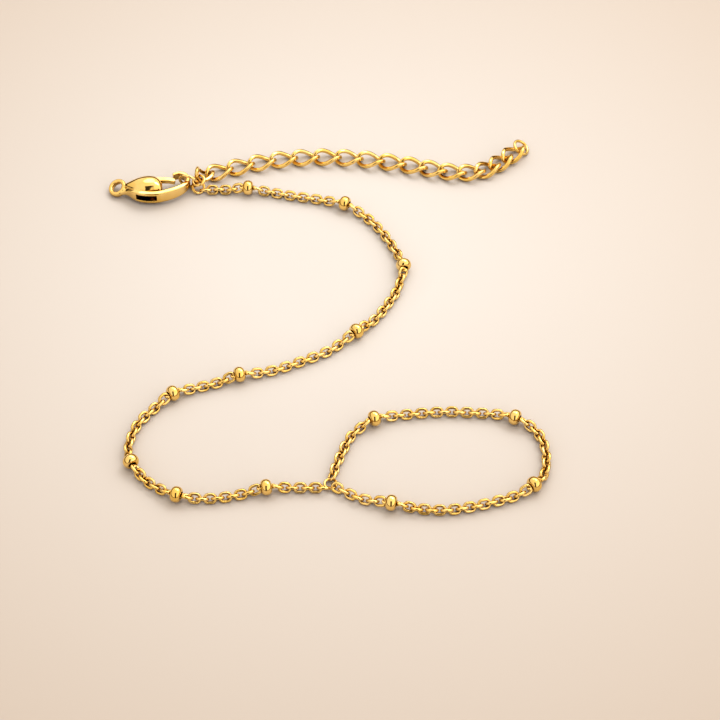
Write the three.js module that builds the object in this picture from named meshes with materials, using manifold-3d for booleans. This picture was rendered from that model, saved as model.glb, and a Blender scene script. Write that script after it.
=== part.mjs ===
// Finger loop chain bracelet, lying open on a surface.
// Millimetres, +Z up, surface at z = 0, origin under the middle of the whole outline.
//
// A fine cable chain threaded with small rondelle beads runs in an S from the clasp to a
// small ring, and from there round a loop for the finger. A lobster clasp holds one jump
// ring, which carries the chain and a curb chain extender with a ring at its free end.

import * as THREE from 'three';
import { mergeVertices } from 'three/addons/utils/BufferGeometryUtils.js';
import Module from 'manifold-3d';

const wasm = await Module();
wasm.setup();

// ---------------------------------------------------------------- driving dimensions

// Cable chain: its links are one tube of the chain's outer size
const CHAIN_WIDTH = 1.4;
const CHAIN_STEP = 3.2;
const TUBE_SIDES = 8;
const END_GAP = 0.4;

// Rondelle beads
const BEAD_DIAMETER = 2.25;
const BEAD_LENGTH = 1.45;
const BEAD_HOLE = 0.9;
const BEAD_SIDES = 14;

// Curb chain extender
const LINK_HALF_LENGTH = 2.03;
const LINK_HALF_WIDTH = 1.25;
const LINK_END_TWIST = 54;
const LINK_WIRE = 0.6;
const LINK_STEPS = 18;
const WIRE_SIDES = 6;

// Slightly smaller link that slopes down from the small ring to the first link on the surface
const JOINT_LINK = { scale: 0.93, roll: 13, drop: 32, heading: 53, place: [-17.93, 28, 1.53] };

// Round rings: mean radius, wire diameter, middle and the way the ring's flat faces
const HOOK_RING = { radius: 1.38, wire: 0.45, place: [-20.14, 26.31, 1.6], facing: [0.24, 0.95, 0.21] };
const CHAIN_RING = { radius: 0.9, wire: 0.42, place: [-18.7, 25.92, 0.7], facing: [0.28, -0.46, 0.84] };
const EXTENDER_RING = {
  radius: 0.9, wire: 0.38, place: [-18.57, 26.2, 1.88], facing: [-0.24, -0.17, 0.95],
};
const LOOP_RING = { radius: 0.8, wire: 0.33, place: [1.9, -30.1, 0.4], facing: [0, 0, 1] };
const END_RING = { radius: 1.21, wire: 0.46, place: [30.78, 34.31, 0.87], facing: [0.53, -0.08, 0.85] };
const RING_STEPS = 16;

// Lobster clasp
const CLASP_MIDDLE = 1.5;
const DOME_SIDES = 16;
const EYE = {
  radius: 1.1, wire: 0.68, high: 0.95, lean: 14, tilt: 22, x: -30.88, y: 25.52, z: 0.93, sides: 8, steps: 18,
};
const PIVOT = { x: -25.5, y: 25.9 };
const PIN_RADIUS = 0.22;
const PIN_SEAT = 0.2;
const PIN_SIDES = 10;
const LEVER_BORE = 0.4;
const LEVER_HEIGHT = 0.7;
const SLOT_HEIGHT = 1.0;
const CLASP_TRIM = { size: 20, depth: 2 };
const SHORTEST_EDGE = 0.01;

// ---------------------------------------------------------------- routes

const BEAD = true;

// Chain route in plan from the clasp to the loop ring: x, y, and whether a bead sits there
const MAIN_ROUTE = [
  [-17.0, 25.3], [-13.2, 25.4], [-11.1, 25.4, BEAD], [-8.5, 25.0], [-4.4, 24.1],
  [-0.3, 23.3], [3.6, 22.1, BEAD], [5.9, 20.5], [8.3, 17.9], [10.5, 14.2],
  [12.3, 9.5, BEAD], [11.8, 6.8], [10.9, 4.0], [8.2, -0.5], [5.4, -3.3, BEAD],
  [3.3, -5.1], [0.9, -7.0], [-5.3, -9.9], [-8.8, -10.9], [-11.1, -11.4, BEAD],
  [-14.5, -12.7], [-18.0, -13.8], [-20.3, -14.8, BEAD], [-22.7, -17.1], [-24.8, -19.8],
  [-25.8, -22.8], [-25.9, -25.0], [-25.4, -26.8, BEAD], [-24.5, -28.2], [-22.5, -30.3],
  [-18.9, -32.4, BEAD], [-14.5, -32.8], [-10.6, -32.2], [-6.8, -31.2, BEAD], [-4.5, -31.0],
  [0.7, -31.1],
];

// Finger loop route, from the far side of the loop ring round to its near side
const LOOP_ROUTE = [
  [2.2, -28.7], [2.9, -26.4], [4.5, -22.4], [6.2, -20.5], [7.9, -19.3, BEAD],
  [10.4, -18.6], [14.0, -18.1], [18.2, -17.8], [22.2, -18.0], [25.4, -18.4],
  [27.4, -19.1, BEAD], [29.5, -20.4], [30.9, -22.4], [31.4, -25.0], [31.3, -27.4],
  [30.7, -29.3], [29.5, -30.7, BEAD], [27.7, -32.0], [24.1, -33.3], [20.7, -34.2],
  [17.3, -34.7], [14.0, -34.5], [11.8, -34.1], [10.1, -33.8, BEAD], [7.5, -33.2],
  [5.4, -32.5], [3.3, -31.4],
];

// Centres of the extender's links in plan; the last one is lifted off the surface by its ring
const LINK_PLACES = [
  [-15.6, 29.1], [-12.4, 30.2], [-9.15, 31.1], [-5.85, 31.75], [-2.5, 32.1], [0.85, 32.2],
  [4.2, 32.0], [7.55, 31.6], [10.85, 31.0], [14.1, 30.3], [17.1, 29.6], [20.0, 29.0],
  [22.9, 28.95], [25.4, 29.7], [27.5, 31.2], [29.46, 32.87, 0.16],
];

// Hook strip of the clasp, from the eye along the near side and round to the hook's tip:
// place of its middle, thickness across and height
const STRIP_ROWS = [
  { x: -30.3, y: 24.5, z: 1.0, thick: 0.62, high: 0.6 },
  { x: -29.5, y: 24.5, z: 1.2, thick: 0.75, high: 0.85 },
  { x: -28.8, y: 24.15, z: 1.35, thick: 0.8, high: 1.3 },
  { x: -28.1, y: 23.65, z: 1.42, thick: 0.85, high: 1.75 },
  { x: -27.2, y: 23.25, z: 1.45, thick: 0.85, high: 1.95 },
  { x: -26.0, y: 23.08, z: 1.45, thick: 0.85, high: 1.95 },
  { x: -24.8, y: 23.12, z: 1.45, thick: 0.85, high: 1.95 },
  { x: -23.8, y: 23.35, z: 1.47, thick: 0.82, high: 1.95 },
  { x: -22.8, y: 23.7, z: 1.5, thick: 0.8, high: 1.95 },
  { x: -21.9, y: 24.15, z: 1.5, thick: 0.78, high: 1.85 },
  { x: -21.0, y: 24.75, z: 1.55, thick: 0.74, high: 1.7 },
  { x: -20.4, y: 25.55, z: 1.55, thick: 0.7, high: 1.55 },
  { x: -20.2, y: 26.4, z: 1.55, thick: 0.66, high: 1.45 },
  { x: -20.6, y: 27.2, z: 1.55, thick: 0.64, high: 1.4 },
  { x: -21.35, y: 27.6, z: 1.55, thick: 0.6, high: 1.35 },
  { x: -22.1, y: 27.5, z: 1.55, thick: 0.52, high: 1.3 },
  { x: -22.55, y: 27.25, z: 1.55, thick: 0.42, high: 1.2 },
];

// Domed body of the clasp, from its point to the end that faces the hook:
// middle of each section, half its width and half its height
const DOME_ROWS = [
  { x: -29.95, y: 25.5, wide: 0.13, high: 0.1 },
  { x: -29.3, y: 25.25, wide: 0.55, high: 0.62 },
  { x: -28.2, y: 25.1, wide: 1.2, high: 1.2 },
  { x: -27.3, y: 25.12, wide: 1.52, high: 1.45 },
  { x: -26.3, y: 25.15, wide: 1.7, high: 1.55 },
  { x: -25.3, y: 25.17, wide: 1.56, high: 1.5 },
  { x: -24.6, y: 25.0, wide: 1.28, high: 1.28 },
  { x: -24.2, y: 24.75, wide: 1.05, high: 0.95 },
  { x: -24.0, y: 24.65, wide: 0.6, high: 0.5 },
];

// Slot for the lever, seen from above: open on the far side, at the gate and at the thumb side
const SLOT_OUTLINE = [
  [-26.5, 27.6], [-26.5, 25.1], [-27.9, 23.5], [-27.9, 22.2], [-24.75, 22.2],
  [-24.75, 24.5], [-24.5, 25.15], [-23.5, 25.15], [-23.5, 27.6],
];

// Lever seen from above, measured from its pivot
const LEVER_OUTLINE = [
  [-0.3, -2.3], [0.3, -2.3], [0.3, -0.6], [0.68, -0.1], [0.75, 0.3], [2.4, 0.3],
  [3.15, 0.1], [3.35, 0.3], [3.35, 0.7], [2.6, 0.95], [2.0, 1.05], [0.1, 1.05],
  [-0.45, 0.7], [-0.68, 0.1], [-0.55, -0.45], [-0.3, -0.7],
];

// ---------------------------------------------------------------- materials

const GOLD = { color: 0xe9b64a, metalness: 1.0, roughness: 0.2 };

const bracelet = new THREE.Group();

function addMesh(name, geometry, finish = GOLD) {
  const mesh = new THREE.Mesh(geometry, new THREE.MeshStandardMaterial(finish));
  mesh.name = name;
  bracelet.add(mesh);
  return mesh;
}

// ---------------------------------------------------------------- solids

// Closed surface through rings of points that all have the same count.
function skinRings(rings, closed) {
  const sides = rings[0].length;
  const positions = rings.flat().flatMap((point) => [point.x, point.y, point.z]);
  const indices = [];
  const spans = closed ? rings.length : rings.length - 1;
  for (let i = 0; i < spans; i += 1) {
    const here = i * sides;
    const next = ((i + 1) % rings.length) * sides;
    for (let k = 0; k < sides; k += 1) {
      const k2 = (k + 1) % sides;
      indices.push(here + k, here + k2, next + k2);
      indices.push(here + k, next + k2, next + k);
    }
  }
  if (!closed) {
    const last = (rings.length - 1) * sides;
    for (let k = 1; k < sides - 1; k += 1) {
      indices.push(0, k + 1, k);
      indices.push(last, last + k, last + k + 1);
    }
  }
  const geometry = new THREE.BufferGeometry();
  geometry.setAttribute('position', new THREE.Float32BufferAttribute(positions, 3));
  geometry.setIndex(indices);
  return geometry;
}

// Round wire along a closed centreline that goes once round its own middle.
function closedWire(centreline, wire, sides) {
  const middle = new THREE.Vector3();
  centreline.forEach((point) => middle.add(point));
  middle.divideScalar(centreline.length);
  const rings = centreline.map((point, i) => {
    const before = centreline[(i + centreline.length - 1) % centreline.length];
    const after = centreline[(i + 1) % centreline.length];
    const along = after.clone().sub(before).normalize();
    const outward = point.clone().sub(middle);
    outward.addScaledVector(along, -outward.dot(along)).normalize();
    const across = along.clone().cross(outward);
    return circlePoints(point, outward, across, wire / 2, sides);
  });
  return skinRings(rings, true);
}

function circlePoints(centre, first, second, radius, sides) {
  const points = [];
  for (let k = 0; k < sides; k += 1) {
    const angle = (2 * Math.PI * k) / sides;
    const point = centre.clone();
    point.addScaledVector(first, radius * Math.cos(angle));
    point.addScaledVector(second, radius * Math.sin(angle));
    points.push(point);
  }
  return points;
}

function toManifold(geometry) {
  const bare = geometry.clone();
  bare.deleteAttribute('normal');
  bare.deleteAttribute('uv');
  const merged = mergeVertices(bare, 1e-5);
  const mesh = new wasm.Mesh({
    numProp: 3,
    vertProperties: new Float32Array(merged.attributes.position.array),
    triVerts: new Uint32Array(merged.index.array),
  });
  return new wasm.Manifold(mesh);
}

function toGeometry(solid) {
  const mesh = solid.getMesh();
  const geometry = new THREE.BufferGeometry();
  geometry.setAttribute('position', new THREE.Float32BufferAttribute(mesh.vertProperties, 3));
  geometry.setIndex(Array.from(mesh.triVerts));
  return mergeVertices(geometry, SHORTEST_EDGE / 5);
}

// Upright prism over an outline in plan, centred on the given height.
function prism(outline, height, middle, hole = null) {
  const shape = new THREE.Shape(outline.map(([x, y]) => new THREE.Vector2(x, y)));
  if (hole) {
    shape.holes.push(hole);
  }
  const geometry = new THREE.ExtrudeGeometry(shape, {
    depth: height,
    bevelEnabled: false,
    curveSegments: 6,
  });
  geometry.translate(0, 0, middle - height / 2);
  return geometry;
}

// ---------------------------------------------------------------- cable chain and beads

function routeCurve(rows, height) {
  const points = rows.map(([x, y]) => new THREE.Vector3(x, y, height));
  const curve = new THREE.CatmullRomCurve3(points, false, 'catmullrom', 0.5);
  curve.arcLengthDivisions = (rows.length - 1) * 40;
  return curve;
}

// Stretch of a longer curve between two distances along it.
class Stretch extends THREE.Curve {
  constructor(whole, from, to) {
    super();
    this.whole = whole;
    this.from = from / whole.getLength();
    this.to = to / whole.getLength();
  }

  getPoint(t, target = new THREE.Vector3()) {
    return this.whole.getPointAt(this.from + (this.to - this.from) * t, target);
  }
}

function tubeSection() {
  const radius = CHAIN_WIDTH / 2 / Math.cos(Math.PI / TUBE_SIDES);
  const corners = [];
  for (let k = 0; k < TUBE_SIDES; k += 1) {
    const angle = (2 * Math.PI * (k + 0.5)) / TUBE_SIDES;
    corners.push(new THREE.Vector2(radius * Math.cos(angle), radius * Math.sin(angle)));
  }
  return new THREE.Shape(corners);
}

function beadGeometry() {
  const outer = BEAD_DIAMETER / 2;
  const half = BEAD_LENGTH / 2;
  const hole = BEAD_HOLE / 2;
  const profile = [
    [hole, -half * 0.8], [outer * 0.62, -half], [outer * 0.9, -half * 0.62], [outer, 0],
    [outer * 0.9, half * 0.62], [outer * 0.62, half], [hole, half * 0.8], [hole, -half * 0.8],
  ];
  return new THREE.LatheGeometry(profile.map(([x, y]) => new THREE.Vector2(x, y)), BEAD_SIDES);
}

// Chain stretches between the beads of one route, and the beads themselves.
function buildRoute(rows, chainName, beadName) {
  const curve = routeCurve(rows, CHAIN_WIDTH / 2);
  const lengths = curve.getLengths();
  const spansPerRow = (lengths.length - 1) / (rows.length - 1);
  const beadStations = rows
    .map((row, i) => (row[2] ? lengths[i * spansPerRow] : null))
    .filter((station) => station !== null);
  const clear = BEAD_LENGTH / 2 + END_GAP;
  const starts = [0, ...beadStations.map((station) => station + clear)];
  const ends = [...beadStations.map((station) => station - clear), curve.getLength()];
  starts.forEach((from, i) => {
    const stretch = new Stretch(curve, from, ends[i]);
    const tube = new THREE.ExtrudeGeometry(tubeSection(), {
      steps: Math.max(2, Math.round((ends[i] - from) / CHAIN_STEP)),
      extrudePath: stretch,
      bevelEnabled: false,
    });
    addMesh(`${chainName}_${i + 1}`, tube);
  });
  beadStations.forEach((station, i) => {
    const place = station / curve.getLength();
    const bead = addMesh(`${beadName}_${i + 1}`, beadGeometry());
    bead.position.copy(curve.getPointAt(place)).setZ(BEAD_DIAMETER / 2);
    const lathe = new THREE.Vector3(0, 1, 0);
    bead.quaternion.setFromUnitVectors(lathe, curve.getTangentAt(place));
  });
}

// ---------------------------------------------------------------- rings and curb links

function addRing(name, size) {
  const geometry = new THREE.TorusGeometry(size.radius, size.wire / 2, WIRE_SIDES, RING_STEPS);
  const ring = addMesh(name, geometry);
  ring.position.set(...size.place);
  const normal = new THREE.Vector3(...size.facing).normalize();
  ring.quaternion.setFromUnitVectors(new THREE.Vector3(0, 0, 1), normal);
}

// Oval link twisted along its length, one end each way, so that its neighbours lie the same way up.
function curbLinkGeometry(scale = 1) {
  const centreline = [];
  for (let i = 0; i < LINK_STEPS; i += 1) {
    const angle = (2 * Math.PI * i) / LINK_STEPS;
    const along = Math.cos(angle);
    const twist = THREE.MathUtils.degToRad(LINK_END_TWIST) * along;
    const side = scale * LINK_HALF_WIDTH * Math.sin(angle);
    centreline.push(new THREE.Vector3(
      scale * LINK_HALF_LENGTH * along,
      side * Math.cos(twist),
      -side * Math.sin(twist),
    ));
  }
  return closedWire(centreline, scale * LINK_WIRE, WIRE_SIDES);
}

function buildExtender() {
  const form = curbLinkGeometry();
  form.computeBoundingBox();
  const height = -form.boundingBox.min.z;
  LINK_PLACES.forEach(([x, y, lift = 0], i) => {
    const before = LINK_PLACES[Math.max(i - 1, 0)];
    const after = LINK_PLACES[Math.min(i + 1, LINK_PLACES.length - 1)];
    const link = addMesh(`extender_link_${i + 1}`, form.clone());
    link.position.set(x, y, height + lift);
    link.rotation.z = Math.atan2(after[1] - before[1], after[0] - before[0]);
  });
  const joint = addMesh('extender_joint_link', curbLinkGeometry(JOINT_LINK.scale));
  joint.rotation.order = 'ZYX';
  joint.rotation.x = THREE.MathUtils.degToRad(JOINT_LINK.roll);
  joint.rotation.y = THREE.MathUtils.degToRad(JOINT_LINK.drop);
  joint.rotation.z = THREE.MathUtils.degToRad(JOINT_LINK.heading);
  joint.position.set(...JOINT_LINK.place);
}

function buildRings() {
  addRing('hook_ring', HOOK_RING);
  addRing('chain_ring', CHAIN_RING);
  addRing('extender_ring', EXTENDER_RING);
  addRing('loop_ring', LOOP_RING);
  addRing('end_ring', END_RING);
}

// ---------------------------------------------------------------- lobster clasp

// Corners of a chamfered rectangle, in halves of its thickness and height
const STRIP_CORNERS = [
  [1, -0.6], [1, 0.6], [0.45, 1], [-0.45, 1], [-1, 0.6], [-1, -0.6], [-0.45, -1], [0.45, -1],
];

function hookStrip() {
  const rings = STRIP_ROWS.map((row, i) => {
    const before = STRIP_ROWS[Math.max(i - 1, 0)];
    const after = STRIP_ROWS[Math.min(i + 1, STRIP_ROWS.length - 1)];
    const heading = Math.atan2(after.y - before.y, after.x - before.x);
    return STRIP_CORNERS.map(([across, up]) => new THREE.Vector3(
      row.x - (across * row.thick * Math.sin(heading)) / 2,
      row.y + (across * row.thick * Math.cos(heading)) / 2,
      row.z + (up * row.high) / 2,
    ));
  });
  return skinRings(rings, false);
}

function domeLoft() {
  const rings = DOME_ROWS.map((row) => {
    const centre = new THREE.Vector3(row.x, row.y, CLASP_MIDDLE);
    const across = new THREE.Vector3(0, row.wide, 0);
    const up = new THREE.Vector3(0, 0, row.high);
    return circlePoints(centre, across, up, 1, DOME_SIDES);
  });
  return skinRings(rings, false);
}

function eyeRing() {
  const eye = new THREE.TorusGeometry(EYE.radius, EYE.wire / 2, EYE.sides, EYE.steps);
  eye.scale(1, 1, EYE.high / EYE.wire);
  eye.rotateX(THREE.MathUtils.degToRad(EYE.lean));
  eye.rotateY(THREE.MathUtils.degToRad(-EYE.tilt));
  eye.translate(EYE.x, EYE.y, EYE.z);
  return eye;
}

// Everything of the clasp that is cast in one: body, hook, eye and the pin of the lever.
function buildClaspBody() {
  const pinLength = SLOT_HEIGHT + 2 * PIN_SEAT;
  const pin = new THREE.CylinderGeometry(PIN_RADIUS, PIN_RADIUS, pinLength, PIN_SIDES);
  pin.rotateX(Math.PI / 2);
  pin.translate(PIVOT.x, PIVOT.y, CLASP_MIDDLE);
  const below = new THREE.BoxGeometry(CLASP_TRIM.size, CLASP_TRIM.size, CLASP_TRIM.depth);
  below.translate(PIVOT.x, PIVOT.y, -CLASP_TRIM.depth / 2);
  const slot = prism(SLOT_OUTLINE, SLOT_HEIGHT, CLASP_MIDDLE);
  const solid = toManifold(domeLoft())
    .add(toManifold(hookStrip()))
    .add(toManifold(eyeRing()))
    .subtract(toManifold(slot))
    .add(toManifold(pin))
    .subtract(toManifold(below));
  addMesh('clasp_body', toGeometry(solid.simplify(SHORTEST_EDGE)));
}

function buildClaspLever() {
  const outline = LEVER_OUTLINE.map(([x, y]) => [PIVOT.x + x, PIVOT.y + y]);
  const bore = new THREE.Path();
  bore.absarc(PIVOT.x, PIVOT.y, LEVER_BORE, 0, 2 * Math.PI, true);
  addMesh('clasp_lever', prism(outline, LEVER_HEIGHT, CLASP_MIDDLE, bore));
}

// ---------------------------------------------------------------- assembly

buildClaspBody();
buildClaspLever();
buildRings();
buildRoute(MAIN_ROUTE, 'chain', 'bead');
buildRoute(LOOP_ROUTE, 'loop_chain', 'loop_bead');
buildExtender();

export default bracelet;
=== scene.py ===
"""Finger loop bracelet of fine gold-plated chain, lying open on a pale surface.

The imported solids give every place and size. Each piece built here stands for the solids that it
replaces: the cable chain gets its links, the beads and curb links their smooth form, and the clasp
its cast body with the lever that turns in it.
"""

import math

import bmesh
import bpy
from bpy.props import FloatProperty, FloatVectorProperty, IntProperty, PointerProperty
from mathutils import Euler, Matrix, Vector


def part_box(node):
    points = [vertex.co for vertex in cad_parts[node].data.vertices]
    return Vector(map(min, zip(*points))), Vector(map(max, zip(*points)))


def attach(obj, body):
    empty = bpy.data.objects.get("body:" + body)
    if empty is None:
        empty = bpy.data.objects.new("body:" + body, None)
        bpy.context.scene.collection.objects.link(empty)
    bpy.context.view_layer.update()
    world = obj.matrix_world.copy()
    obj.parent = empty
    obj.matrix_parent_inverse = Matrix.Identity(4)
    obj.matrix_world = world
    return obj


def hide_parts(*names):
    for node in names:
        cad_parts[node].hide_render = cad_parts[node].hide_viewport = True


bl_info = {
    "name": "Finger Loop Bracelet",
    "version": (1, 0, 0),
    "blender": (4, 5, 0),
    "location": "View3D > Sidebar > Bracelet",
    "description": "Builds a gold-plated chain bracelet with a finger loop, beads, clasp and extender",
    "category": "Object",
}

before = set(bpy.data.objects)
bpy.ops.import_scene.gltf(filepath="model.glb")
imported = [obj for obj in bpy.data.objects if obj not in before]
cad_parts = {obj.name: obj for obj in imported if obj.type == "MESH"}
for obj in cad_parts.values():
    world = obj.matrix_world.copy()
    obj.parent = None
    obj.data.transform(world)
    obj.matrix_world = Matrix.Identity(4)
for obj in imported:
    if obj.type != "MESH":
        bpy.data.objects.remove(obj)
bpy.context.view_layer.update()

MM = 0.001
MAIN_BODY = "bracelet"
LEVER_BODY = "lever"

BEAD_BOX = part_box("bead_1")
BEAD_ACROSS = BEAD_BOX[1].z - BEAD_BOX[0].z

# ------------------------------------------------------------------ routes and places, in millimetres

BEAD = True

# Chain route in plan from the clasp to the loop ring: x, y, and whether a bead sits there
MAIN_ROUTE = [
    (-17.5, 25.35), (-13.2, 25.4), (-11.1, 25.4, BEAD), (-8.5, 25.0), (-4.4, 24.1),
    (-0.3, 23.3), (3.6, 22.1, BEAD), (5.9, 20.5), (8.3, 17.9), (10.5, 14.2),
    (12.3, 9.5, BEAD), (11.8, 6.8), (10.9, 4.0), (8.2, -0.5), (5.4, -3.3, BEAD),
    (3.3, -5.1), (0.9, -7.0), (-5.3, -9.9), (-8.8, -10.9), (-11.1, -11.4, BEAD),
    (-14.5, -12.7), (-18.0, -13.8), (-20.3, -14.8, BEAD), (-22.7, -17.1), (-24.8, -19.8),
    (-25.8, -22.8), (-25.9, -25.0), (-25.4, -26.8, BEAD), (-24.5, -28.2), (-22.5, -30.3),
    (-18.9, -32.4, BEAD), (-14.5, -32.8), (-10.6, -32.2), (-6.8, -31.2, BEAD), (-4.5, -31.0),
    (0.93, -30.95),
]

# Finger loop route, from the far side of the loop ring round to its near side
LOOP_ROUTE = [
    (2.17, -28.85), (2.9, -26.4), (4.5, -22.4), (6.2, -20.5), (7.9, -19.3, BEAD),
    (10.4, -18.6), (14.0, -18.1), (18.2, -17.8), (22.2, -18.0), (25.4, -18.4),
    (27.4, -19.1, BEAD), (29.5, -20.4), (30.9, -22.4), (31.4, -25.0), (31.3, -27.4),
    (30.7, -29.3), (29.5, -30.7, BEAD), (27.7, -32.0), (24.1, -33.3), (20.7, -34.2),
    (17.3, -34.7), (14.0, -34.5), (11.8, -34.1), (10.1, -33.8, BEAD), (7.5, -33.2),
    (5.4, -32.5), (2.83, -30.97),
]

# Centres of the extender's links in plan; the last one is lifted off the surface by its ring
LINK_PLACES = [
    (-15.6, 29.1), (-12.4, 30.2), (-9.15, 31.1), (-5.85, 31.75), (-2.5, 32.1), (0.85, 32.2),
    (4.2, 32.0), (7.55, 31.6), (10.85, 31.0), (14.1, 30.3), (17.1, 29.6), (20.0, 29.0),
    (22.9, 28.95), (25.4, 29.7), (27.5, 31.2), (29.46, 32.87, 0.16),
]

# Slightly smaller link that slopes down from the small ring to the first link on the surface
JOINT_LINK = {"scale": 0.93, "roll": 13, "drop": 32, "heading": 53, "place": (-17.93, 28.0, 1.53)}

# Round rings: mean radius, wire diameter, middle and the way the ring's flat faces
RINGS = {
    "hook_ring": {"radius": 1.38, "wire": 0.45, "place": (-20.14, 26.31, 1.6), "facing": (0.24, 0.95, 0.21)},
    "chain_ring": {"radius": 0.9, "wire": 0.42, "place": (-18.7, 25.92, 0.7), "facing": (0.28, -0.46, 0.84)},
    "extender_ring": {
        "radius": 0.9, "wire": 0.38, "place": (-18.57, 26.2, 1.88), "facing": (-0.24, -0.17, 0.95),
    },
    "loop_ring": {"radius": 0.82, "wire": 0.38, "place": (1.9, -30.1, 0.4), "facing": (0, 0, 1)},
    "end_ring": {"radius": 1.21, "wire": 0.46, "place": (30.78, 34.31, 0.87), "facing": (0.53, -0.08, 0.85)},
}

# Hook strip of the clasp, from the eye along the near side and round to the hook's tip:
# x, y and z of its middle, thickness across and height
STRIP_ROWS = [
    (-30.3, 24.5, 1.0, 0.62, 0.6), (-29.5, 24.5, 1.2, 0.75, 0.85), (-28.8, 24.15, 1.35, 0.8, 1.3),
    (-28.1, 23.65, 1.42, 0.85, 1.75), (-27.2, 23.25, 1.45, 0.85, 1.95), (-26.0, 23.08, 1.45, 0.85, 1.95),
    (-24.8, 23.12, 1.45, 0.85, 1.95), (-23.8, 23.35, 1.47, 0.82, 1.95), (-22.8, 23.7, 1.5, 0.8, 1.95),
    (-21.9, 24.15, 1.5, 0.78, 1.85), (-21.0, 24.75, 1.55, 0.74, 1.7), (-20.4, 25.55, 1.55, 0.7, 1.55),
    (-20.2, 26.4, 1.55, 0.66, 1.45), (-20.6, 27.2, 1.55, 0.64, 1.4), (-21.35, 27.6, 1.55, 0.6, 1.35),
    (-22.1, 27.5, 1.55, 0.52, 1.3), (-22.55, 27.25, 1.55, 0.42, 1.2),
]

# Domed body of the clasp from its point to its blunt end: x and y of the middle, half width, half height
DOME_ROWS = [
    (-29.95, 25.5, 0.13, 0.1), (-29.3, 25.25, 0.55, 0.62), (-28.2, 25.1, 1.2, 1.2),
    (-27.3, 25.12, 1.52, 1.45), (-26.3, 25.15, 1.7, 1.55), (-25.3, 25.17, 1.56, 1.5),
    (-24.6, 25.0, 1.28, 1.28), (-24.2, 24.75, 1.05, 0.95), (-24.0, 24.65, 0.6, 0.5),
]
CLASP_MIDDLE = 1.5
EYE = {"radius": 1.1, "wire": 0.68, "high": 0.95, "lean": 14, "tilt": 22, "place": (-30.88, 25.52, 0.93)}
PIVOT = (-25.5, 25.9)
PIN_RADIUS = 0.22
PIN_SEAT = 0.2
LEVER_BORE = 0.4
LEVER_HEIGHT = 0.7
SLOT_HEIGHT = 1.0

# Slot for the lever, seen from above: open on the far side, at the gate and at the thumb side
SLOT_OUTLINE = [
    (-26.5, 27.6), (-26.5, 25.1), (-27.9, 23.5), (-27.9, 22.2), (-24.75, 22.2),
    (-24.75, 24.5), (-24.5, 25.15), (-23.5, 25.15), (-23.5, 27.6),
]

# Lever seen from above, measured from its pivot
LEVER_OUTLINE = [
    (-0.3, -2.3), (0.3, -2.3), (0.3, -0.6), (0.68, -0.1), (0.75, 0.3), (2.4, 0.3),
    (3.15, 0.1), (3.35, 0.3), (3.35, 0.7), (2.6, 0.95), (2.0, 1.05), (0.1, 1.05),
    (-0.45, 0.7), (-0.68, 0.1), (-0.55, -0.45), (-0.3, -0.7),
]


# ------------------------------------------------------------------ settings

class BraceletChainSettings(bpy.types.PropertyGroup):
    """Sizes of the fine cable chain."""

    link_length: FloatProperty(
        name="Link Length", description="Outer length of one cable link",
        default=1.95 * MM, min=0.5 * MM, unit="LENGTH", precision=5)
    link_width: FloatProperty(
        name="Link Width", description="Outer width of one cable link",
        default=1.6 * MM, min=0.4 * MM, unit="LENGTH", precision=5)
    wire: FloatProperty(
        name="Wire", description="Diameter of the cable links' wire",
        default=0.44 * MM, min=0.1 * MM, unit="LENGTH", precision=5)
    pitch: FloatProperty(
        name="Pitch", description="Usual distance from one cable link's middle to the next",
        default=1.04 * MM, min=0.3 * MM, unit="LENGTH", precision=5)
    roll: FloatProperty(
        name="Roll", description="Turn of each link to either side of the chain's own plane",
        default=math.radians(45), unit="ROTATION")
    slack: FloatProperty(
        name="Slack", description="Largest random turn of a link that lies loose",
        default=math.radians(7), unit="ROTATION")
    bead_reach: FloatProperty(
        name="Bead Reach", description="Distance from a bead's middle to the middle of the link beside it",
        default=1.5 * MM, unit="LENGTH", precision=5)
    bead_slope: FloatProperty(
        name="Bead Slope", description="Length over which the chain comes down from a bead's hole",
        default=2.5 * MM, unit="LENGTH", precision=5)
    seed: IntProperty(name="Seed", description="Seed of the links' random turns", default=7)


class BraceletBeadSettings(bpy.types.PropertyGroup):
    """Sizes of the rondelle beads."""

    diameter: FloatProperty(
        name="Diameter", description="Diameter of a bead",
        default=BEAD_ACROSS, unit="LENGTH", precision=5)
    length: FloatProperty(
        name="Length", description="Length of a bead along the chain",
        default=1.45 * MM, unit="LENGTH", precision=5)
    hole: FloatProperty(
        name="Hole", description="Diameter of a bead's hole",
        default=0.9 * MM, unit="LENGTH", precision=5)


class BraceletExtenderSettings(bpy.types.PropertyGroup):
    """Sizes of the twisted curb links."""

    half_length: FloatProperty(
        name="Half Length", description="Half the length of a curb link's wire centre line",
        default=2.03 * MM, unit="LENGTH", precision=5)
    half_width: FloatProperty(
        name="Half Width", description="Half the width of a curb link's wire centre line",
        default=1.25 * MM, unit="LENGTH", precision=5)
    twist: FloatProperty(
        name="Twist", description="Turn of a curb link's ends, one each way",
        default=math.radians(54), unit="ROTATION")
    wire: FloatProperty(
        name="Wire", description="Diameter of the curb links' wire",
        default=0.58 * MM, unit="LENGTH", precision=5)
    flatness: FloatProperty(
        name="Flatness", description="How flat the wire's faces are pressed: 2 is round",
        default=3.2, min=2, max=8)


class BraceletClaspSettings(bpy.types.PropertyGroup):
    """Fineness of the cast clasp."""

    detail: FloatProperty(
        name="Detail", description="Cell size of the clasp's surface",
        default=0.05 * MM, min=0.02 * MM, unit="LENGTH", precision=6)
    polish: IntProperty(
        name="Polish", description="Rounds of smoothing that soften the cast edges", default=7, min=0)


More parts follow.
